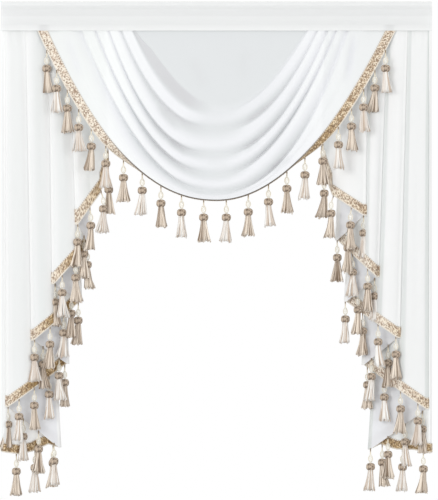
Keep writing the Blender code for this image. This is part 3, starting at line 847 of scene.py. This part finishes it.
def braid_piece(name, surface, golden, edge_on, material, replaced):
    """A closed strip over the surface grid (across, along). golden says how far its yarn turns from cream to
    gold, and edge_on is 1 where only its thick sewn cord is to be seen, painted darker there as shade where
    the braid turns under."""
    across = np.linspace(0.0, 1.0, surface.shape[0])
    middle = surface[surface.shape[0] // 2]
    along = lengths_along(middle)
    side_step = np.gradient(surface, axis=0)
    run_step = np.gradient(surface, axis=1)
    normal = normalised(np.cross(side_step, run_step))
    if normal[:, : 8, 1].mean() > 0.0:
        normal = -normal
    along, across = np.meshgrid(along, across)
    height, tint = braid_relief(along, across, golden, edge_on)
    face = surface + normal * height[..., None]
    behind = np.linspace(len(surface) - 1, 0, BRAID_BACK_ROWS).astype(int)
    ring = np.concatenate([face, (surface + normal * BRAID_LIFT)[behind]])
    rows, columns = ring.shape[:2]
    ring = ring.transpose(1, 0, 2)
    # The braid's back rows, against the cloth, are painted darker as shade.
    colors = np.concatenate([tint, tint[behind] * 0.9]).transpose(1, 0, 2)
    faces = grid_faces(columns, rows, wrap_columns=True)
    mesh = mesh_from(name, ring.reshape(-1, 3), faces)
    put_tint(mesh, colors)
    return add_piece(name, mesh, material, replaced)


def build_swag_braid(material):
    rough = swag_hem(arm_fractions(400), 0.5)
    fraction = arm_fractions(int(lengths_along(rough)[-1] / BRAID_STEP))
    surface = np.array([swag_hem(fraction, share) for share in np.linspace(0.0, 1.0, BRAID_ROWS)])
    edge_on = smooth_step((UNDER_START - np.abs(fraction)) / (UNDER_START - UNDER_FULL))
    golden = np.interp(fraction, SWAG_GOLDEN_AT, SWAG_GOLDEN)
    return braid_piece("braid_swag", surface, golden, edge_on, material, "fringe_swag")


def build_tail_braid(word, side, places, material):
    columns = tail_columns(places, 44, 14)
    hem = np.array([hem_height(column) for column in columns])
    high = braid_heights(places, columns)
    share = np.linspace(1.0, 0.0, BRAID_ROWS)[:, None]
    surface = columns_grid(side, places, columns, hem[None, :] + high[None, :] * share)
    # Painted shade: the braid on the reverse layers and on the last layer is a darker gold.
    golden = np.full(len(columns), REVERSE_SHADE_GOLDEN)
    last = columns[-1].layer
    for number, column in enumerate(columns):
        if column.layer % 2 and column.layer < last:
            out, _ = tail_point(column, hem[number])
            share, _ = panel_share(places, column, hem[number], out)
            golden[number] = np.interp(share, (0.0, 1.0), PANEL_GOLDEN[side])
    return braid_piece(f"braid_{word}", surface, golden, np.zeros(len(columns)), material, f"fringe_{word}")


# Tassels

def roots_along(edge, first, spacing, count):
    """Where tassels hang from an edge, each with the number of the stretch of the edge that it hangs on."""
    distances = first + spacing * np.arange(count)
    return zip(points_at(edge, distances), np.searchsorted(lengths_along(edge), distances) - 1)


def swag_hangings():
    """Each tassel's root, its turn, and how far back it lies. On the arms every other one lies forward."""
    fraction = arm_fractions(39)
    edge = swag_hem(fraction, 1.0)
    total = lengths_along(edge)[-1]
    spacing = total / (SWAG_TASSELS + SWAG_END_SPACES)
    first = (total - spacing * (SWAG_TASSELS - 1)) / 2.0
    hangings = []
    for number, (root, index) in enumerate(roots_along(edge, first, spacing, SWAG_TASSELS)):
        steep = abs(fraction[index]) > STAGGER_FROM
        hangings.append((root, 0.0, -SWAG_TASSEL_STAGGER if steep and number % 2 else 0.0))
    return hangings


def tail_hangings(side, places, first, spacing):
    columns = tail_columns(places, 1, SOLID_TURN_STEPS)
    hem = np.array([hem_height(column) for column in columns])
    edge = columns_grid(side, places, columns, hem[None, :])[0]
    count = int((lengths_along(edge)[-1] - first) / spacing) + 1
    hangings = []
    for number, (root, index) in enumerate(roots_along(edge, first, spacing, count)):
        column = columns[index]
        yaw = -side * math.atan(tail_pitch(root[2]) * LAYERS_PER_METRE)
        steep = column.layer == 1 and column.angle is None
        lean = -STEEP_LEAN - TAIL_TASSEL_STAGGER * (number % 2) if steep else 0.0
        hangings.append((root, yaw, lean))
    return hangings


def tubes(paths, radii):
    """Closed tubes round paths (count, steps, 3) with radii (count, steps): their points and faces."""
    sides = TUBE_SIDES
    count, steps = paths.shape[:2]
    tangent = normalised(np.gradient(paths, axis=1))
    side = normalised(np.cross(tangent, np.array([0.13, 1.0, 0.07])))
    other = np.cross(tangent, side)
    angle = np.arange(sides) * math.tau / sides
    ring = side[..., None, :] * np.cos(angle)[:, None] + other[..., None, :] * np.sin(angle)[:, None]
    points = paths[..., None, :] + ring * radii[..., None, None]
    wall = grid_faces(steps, sides, wrap_columns=True)
    caps = np.array([[3, 2, 1, 0], [0, 1, 2, 3]])
    caps[1] += (steps - 1) * sides
    one = np.concatenate([wall, caps])
    shift = (np.arange(count) * steps * sides)[:, None, None]
    return points.reshape(-1, 3), (one[None] + shift).reshape(-1, 4)


class Bundle:
    """Gathers many small shapes into one mesh with a colour at each point."""

    def __init__(self):
        self.points, self.faces, self.tints, self.count = [], [], [], 0

    def add(self, points, faces, tints):
        self.points.append(points)
        self.faces.append(faces + self.count)
        self.tints.append(np.broadcast_to(tints, (len(points), 3)))
        self.count += len(points)

    def piece(self, name, material):
        mesh = mesh_from(name, np.concatenate(self.points), np.concatenate(self.faces))
        put_tint(mesh, np.concatenate(self.tints))
        return add_piece(name, mesh, material)


def turned(points, yaw, root):
    c, s = math.cos(yaw), math.sin(yaw)
    x, y, z = points[:, 0], points[:, 1], points[:, 2]
    return np.stack([x * c - y * s, x * s + y * c, z], axis=-1) + root


def ball(half, drop, around, up, relief=0.0):
    """A squarish ball under the braid, covered in yarn loops: its points and faces, and each point's place in
    its loop and that loop's tone."""
    a = np.arange(around) * math.tau / around
    t = np.linspace(-1.0, 1.0, up) * math.pi / 2.0
    aa, tt = np.meshgrid(a, t)
    near, tone = yarn_loops(aa * half[0] + 0.31 * drop, tt * half[2], HEAD_LOOP)
    level = np.sign(np.sin(tt)) * np.abs(np.sin(tt)) ** 0.85
    wide = np.maximum(np.cos(tt), 0.0) ** 0.62
    grow = 1.0 + relief * (0.5 - near)
    points = np.stack([half[0] * wide * np.cos(aa) * grow, half[1] * wide * np.sin(aa) * grow,
                       half[2] * level - drop], axis=-1)
    faces = grid_faces(up, around, wrap_columns=True)
    return points.reshape(-1, 3), faces, near.reshape(-1), tone.reshape(-1)


def skirt_threads(rng, lean):
    """Yarn from under the head, in locks of threads: paths (count, steps, 3) and each thread's lock."""
    steps = 7
    t = np.linspace(0.0, 1.0, steps)
    flare = rng.uniform(0.86, 1.10)
    swing = rng.normal(0.0, 2.4 * MM)
    paths, locks = [], []
    for count, ring in SKIRT_RINGS:
        for lock in range(count):
            centre = (lock + rng.uniform(-0.15, 0.15)) * math.tau / count + ring
            angle = centre + np.linspace(-0.13, 0.13, LOCK_THREADS) / ring
            spread = ring * flare * rng.uniform(0.84, 1.10)
            top = np.stack([np.cos(angle), np.sin(angle)], axis=-1) * SKIRT_TOP_HALF * MM * ring
            fan = centre + (angle - centre) * rng.uniform(0.7, 1.3)
            low = np.stack([np.cos(fan), np.sin(fan)], axis=-1) * SKIRT_LOW_HALF * MM * spread
            grow = (0.55 * t + 0.45 * t ** 2)[None, :, None]
            across = top[:, None] + (low - top)[:, None] * grow
            across += (rng.normal(0.0, 0.5 * MM, 2) * np.sin(math.pi * t * 1.6 + lock)[:, None])[None]
            across[..., 0] += swing * t ** 1.5
            long = SKIRT_LENGTH + rng.normal(0.0, 1.6 * MM) + rng.normal(0.0, 0.9 * MM, LOCK_THREADS)
            drop = HEAD_BOTTOM - 2.5 * MM + (long + 0.5 * MM)[:, None] * t[None]
            paths.append(np.concatenate([across, -drop[..., None]], axis=-1))
            locks += [len(paths) - 1] * LOCK_THREADS
    found = np.concatenate(paths)
    found[..., 1] += lean
    return found, np.array(locks)


def add_tassel(rng, parts, hanging, yarn):
    """One tassel's loop, bead, head and skirt, added to the bundles in parts."""
    root, yaw, lean = hanging
    loops, beads, heads, skirts = parts
    t = np.linspace(0.0, 1.0, 15)
    drop = LOOP_TOP + (HEAD_TOP + LOOP_REACH) * t
    around_bead = np.exp(-((drop - BEAD_DROP) / BEAD_REACH) ** 4)
    for side in (-1.0, 1.0):
        path = np.stack([side * (LOOP_HALF_GAP + (BEAD_HALF[0] - 0.2 * MM) * around_bead),
                         lean * smooth_step(t * 1.6) - LOOP_FORWARD, -drop], axis=-1)
        points, faces = tubes(path[None], np.full((1, len(t)), LOOP_THREAD))
        dark = np.repeat(smooth_step((7.0 * MM - drop) / (4.0 * MM)), TUBE_SIDES)[:, None]
        loops.add(turned(points, yaw, root), faces, LOOP_CREAM * (1.0 - dark) + LOOP_DARK * dark)
    points, faces, _, _ = ball(BEAD_HALF, BEAD_DROP, 14, 9)
    points[:, 1] += lean
    beads.add(turned(points, yaw, root), faces, BEAD_CLEAR)
    points, faces, near, tone = ball(HEAD_HALF, (HEAD_TOP + HEAD_BOTTOM) / 2.0, 36, 17, relief=HEAD_RELIEF)
    points[:, 1] += lean
    # Darker away from each loop's middle: painted shade between the head's loops, over the random loop tones.
    share = np.clip(tone * 1.1 - 0.25 * near, 0.0, 1.0)[:, None]
    tint = HEAD_DARK * (1.0 - share) + HEAD_LIGHT * share
    heads.add(turned(points, yaw, root), faces, tint)
    paths, locks = skirt_threads(rng, lean)
    count, steps = paths.shape[:2]
    radii = (THREAD_HALF + THREAD_GROWTH * np.linspace(0.0, 1.0, steps))[None] * MM * np.ones((count, 1))
    points, faces = tubes(paths, radii)
    lock_shade = rng.uniform(0.3, 0.85, locks.max() + 1)
    shade = np.clip(lock_shade[locks] + rng.normal(0.0, 0.4, count), 0.0, 1.0)[:, None]
    dark, light = yarn
    tint = dark * (1.0 - shade) + light * shade
    skirts.add(turned(points, yaw, root), faces, np.repeat(tint, steps * TUBE_SIDES, axis=0))


def build_tassels(name, hangings, exchanged, seed, materials):
    """Tassels of tan and cream yarn in turn, apart from the exchanged ones, which have the other yarn."""
    rng = np.random.default_rng(seed)
    parts = [Bundle() for _ in range(4)]
    for number, hanging in enumerate(hangings):
        cream = (number % 2 == 1) != (number in exchanged)
        add_tassel(rng, parts, hanging, CREAM_YARN if cream else TAN_YARN)
    words = ("loops", "beads", "heads", "skirts")
    return [part.piece(f"{word}_{name}", materials[word]) for word, part in zip(words, parts)]


# Header

def header_section():
    """The sleeve's section as (y, z): the hem band, up the front, over the heading and down the back."""
    half = POCKET_HALF_DEPTH - 0.3 * MM
    fin = HEADING_HALF
    corners = ((-half + 1.2 * MM, -POCKET_BOTTOM - 0.5 * MM), (-half + 0.9 * MM, -FLAP_BOTTOM + 0.5 * MM),
               (-half, -FLAP_BOTTOM), (-half, -POCKET_BOTTOM), (-half, -32 * MM), (-0.75 * half, -20 * MM),
               (-fin, -HEADING_HEIGHT), (-fin, -1.0 * MM), (0.0, -0.1 * MM), (fin, -1.0 * MM),
               (fin, -HEADING_HEIGHT), (0.75 * half, -20 * MM), (half, -32 * MM),
               (half, -POCKET_BOTTOM + 5 * MM), (0.82 * half, -POCKET_BOTTOM + 0.8 * MM),
               (0.5 * half, -POCKET_BOTTOM), (-half + 0.5 * MM, -POCKET_BOTTOM))
    return np.array(corners)


def fine_section(corners, step):
    """The section with points every step, its corners a little rounded."""
    total = lengths_along(corners)[-1]
    fine = points_at(corners, np.linspace(0.0, total, int(total / step)))
    for _ in range(2):
        fine[1:-1] = 0.25 * fine[:-2] + 0.5 * fine[1:-1] + 0.25 * fine[2:]
    return fine


def build_header(material):
    section = fine_section(header_section(), HEADER_STEP)
    x = np.linspace(-WIDTH / 2.0, WIDTH / 2.0, HEADER_COLUMNS)
    points = np.empty((len(section), len(x), 3))
    points[..., 0] = x[None]
    points[..., 1] = section[:, None, 0]
    points[..., 2] = section[:, None, 1]
    depth = -points[..., 2]
    pocket = smooth_step((depth - HEADING_HEIGHT) / (9 * MM))
    pocket *= smooth_step((POCKET_BOTTOM + 2 * MM - depth) / (12 * MM))
    ripple = sum(height * np.sin(x / length + start) for length, height, start in RIPPLES)[None]
    points[..., 1] += np.sign(-section[:, None, 0]) * pocket * (POCKET_FULLNESS + ripple * RIPPLE_HEIGHT)
    tones = np.interp(depth, HEADER_TONE_DEPTHS, HEADER_TONES)
    over_trim = np.exp(-((np.abs(x) - TRIM_END) / TRIM_END_HALF) ** 4)[None] * (depth > POCKET_BOTTOM)
    tints = mixed_tint(tones - TRIM_END_TONE * over_trim, HEADER_THIN, HEADER_DENSE)
    return add_cloth("header_cloth", points, tints, material, "header")


# Camera, light and floor

def add_light(name, location, watts):
    data = bpy.data.lights.new(name, "AREA")
    data.shape = "DISK"
    data.size = LIGHT_SIZE
    data.energy = watts
    light = bpy.data.objects.new(name, data)
    bpy.context.scene.collection.objects.link(light)
    light.location = location
    light.rotation_mode = "QUATERNION"
    light.rotation_quaternion = (Vector(LIGHT_TARGET) - Vector(location)).to_track_quat("-Z", "Y")


def add_camera(scene):
    """A camera far enough off to see the drape nearly without perspective, with the photograph's frame."""
    data = bpy.data.cameras.new("camera")
    data.sensor_width = SENSOR_WIDTH
    data.lens = SENSOR_WIDTH * CAMERA_DISTANCE / (PHOTO_SIZE[1] * PIXEL)
    data.clip_end = 10.0 * CAMERA_DISTANCE
    camera = bpy.data.objects.new("camera", data)
    scene.collection.objects.link(camera)
    camera.location = ((PHOTO_SIZE[0] / 2.0 - MIDDLE_PIXEL) * PIXEL, -CAMERA_DISTANCE,
                       -(PHOTO_SIZE[1] / 2.0 - TOP_PIXEL) * PIXEL)
    camera.rotation_euler = (math.radians(90), 0.0, 0.0)
    scene.camera = camera


def add_room(scene):
    """An even room that is plain white to look at and a little dimmer as a light."""
    world = bpy.data.worlds.new("white_room")
    scene.world = world
    world.use_nodes = True
    tree = world.node_tree
    room = tree.nodes["Background"]
    room.inputs["Strength"].default_value = ROOM_STRENGTH
    seen = node_in(tree, "ShaderNodeBackground")
    path = node_in(tree, "ShaderNodeLightPath")
    either = node_in(tree, "ShaderNodeMixShader")
    for background in (room, seen):
        background.inputs["Color"].default_value = (1.0, 1.0, 1.0, 1.0)
    tree.links.new(path.outputs["Is Camera Ray"], either.inputs["Fac"])
    tree.links.new(room.outputs[0], either.inputs[1])
    tree.links.new(seen.outputs[0], either.inputs[2])
    tree.links.new(either.outputs[0], tree.nodes["World Output"].inputs["Surface"])


def add_floor(scene):
    corners = np.array([(-1, -1, 0), (1, -1, 0), (1, 1, 0), (-1, 1, 0)]) * FLOOR_HALF + (0.0, 0.0, FLOOR_Z)
    mesh = mesh_from("floor", corners, np.array([[0, 1, 2, 3]]))
    floor = bpy.data.objects.new("floor", mesh)
    material, _, _ = new_material("floor_white", (0.9, 0.9, 0.9), 0.9)
    mesh.materials.append(material)
    scene.collection.objects.link(floor)


def build_stage():
    scene = bpy.context.scene
    scene.view_settings.view_transform = "Standard"
    add_camera(scene)
    add_room(scene)
    add_light("key", KEY_PLACE, KEY_WATTS)
    add_light("fill", FILL_PLACE, FILL_WATTS)
    add_floor(scene)


def main():
    header_cloth = sheer_material("header_cloth_weave", 0.84)
    swag_cloth = sheer_material("swag_cloth_weave", 0.90)
    tail_cloth = sheer_material("tail_cloth_weave", 0.84)
    braid = yarn_material("braid_weave", 0.55, 900.0, 0.35, Sheen_Weight=0.2)
    materials = {
        "loops": yarn_material("loop_thread", 0.5, 1500.0, 0.2, Sheen_Weight=0.2),
        "beads": yarn_material("clear_bead", 0.08, 40.0, 0.05, Coat_Weight=0.6, Alpha=0.50),
        "heads": yarn_material("plaited_head", 0.7, 1200.0, 0.4, Sheen_Weight=0.25),
        "skirts": yarn_material("yarn", 0.45, 1400.0, 0.15, Sheen_Weight=0.3),
    }
    header = build_header(header_cloth)
    swag = build_swag(swag_cloth)
    left = build_tail("left", LEFT, LEFT_TAIL, tail_cloth)
    right = build_tail("right", RIGHT, RIGHT_TAIL, tail_cloth)
    swag_trim = [build_swag_braid(braid)]
    left_trim = [build_tail_braid("left", LEFT, LEFT_TAIL, braid)]
    right_trim = [build_tail_braid("right", RIGHT, RIGHT_TAIL, braid)]
    swag_trim += build_tassels("swag", swag_hangings(), (), 11, materials)
    left_hangings = tail_hangings(LEFT, LEFT_TAIL, LEFT_FIRST_TASSEL, LEFT_SPACING)
    right_hangings = tail_hangings(RIGHT, RIGHT_TAIL, RIGHT_FIRST_TASSEL, RIGHT_SPACING)
    left_trim += build_tassels("left", left_hangings, LEFT_EXCHANGED, 12, materials)
    right_trim += build_tassels("right", right_hangings, RIGHT_EXCHANGED, 13, materials)
    build_stage()


main()
